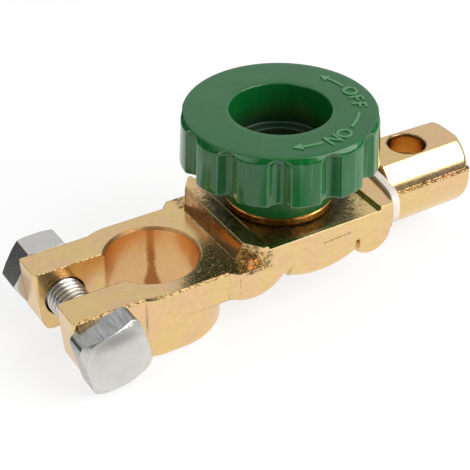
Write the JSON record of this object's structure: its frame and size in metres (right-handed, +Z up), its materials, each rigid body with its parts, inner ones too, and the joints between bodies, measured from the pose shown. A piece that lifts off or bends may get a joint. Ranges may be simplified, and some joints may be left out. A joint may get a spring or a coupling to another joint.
{
  "type": "battery disconnect switch",
  "caption": "Battery post clamp with a green screw-down knob that breaks the circuit to a cable post.",
  "frame": {"origin": "on the axis of the post bore, in the plane of the ring's underside", "axes": "+X from the bore towards the cable post, +Y towards the clamp nut, +Z up along the knob's axis"},
  "size_m": [0.0989, 0.043, 0.0396],
  "materials": {
    "brass_cast": "satin",
    "zinc_steel": "satin",
    "white_nylon": "satin",
    "contact_brass": "polished",
    "green_plastic": "semi-gloss"
  },
  "bodies": {
    "clamp": {"clamp_body": "brass_cast", "insulator_liner": "white_nylon", "base_insulator": "white_nylon", "cable_terminal": "brass_cast"},
    "bolt": {"clamp_bolt": "zinc_steel"},
    "nut": {"clamp_nut": "zinc_steel"},
    "washer": {"contact_washer": "contact_brass"},
    "knob": {"knob": "green_plastic", "contact_screw": "contact_brass"}
  },
  "joints": [
    {"name": "knob_lift", "type": "slide", "parent": "clamp", "child": "washer", "axis": [0, 0, 1], "range_m": [0, 0.0075]},
    {"name": "knob_turn", "type": "hinge", "parent": "washer", "child": "knob", "pos_m": [0.03, 0, 0.03], "axis": [0, 0, 1], "range_deg": [0, 1800]},
    {"name": "bolt_turn", "type": "hinge", "parent": "clamp", "child": "bolt", "pos_m": [-0.017, 0, 0.0079], "axis": [0, -1, 0], "range_deg": [0, 1800]},
    {"name": "nut_travel", "type": "slide", "parent": "clamp", "child": "nut", "axis": [0, 1, 0], "range_m": [0, 0.0063]}
  ],
  "couplings": [
    {"joint": "knob_lift", "follows": "knob_turn", "m_per_rad": 0.00023873},
    {"joint": "nut_travel", "follows": "bolt_turn", "m_per_rad": 0.00019894}
  ]
}
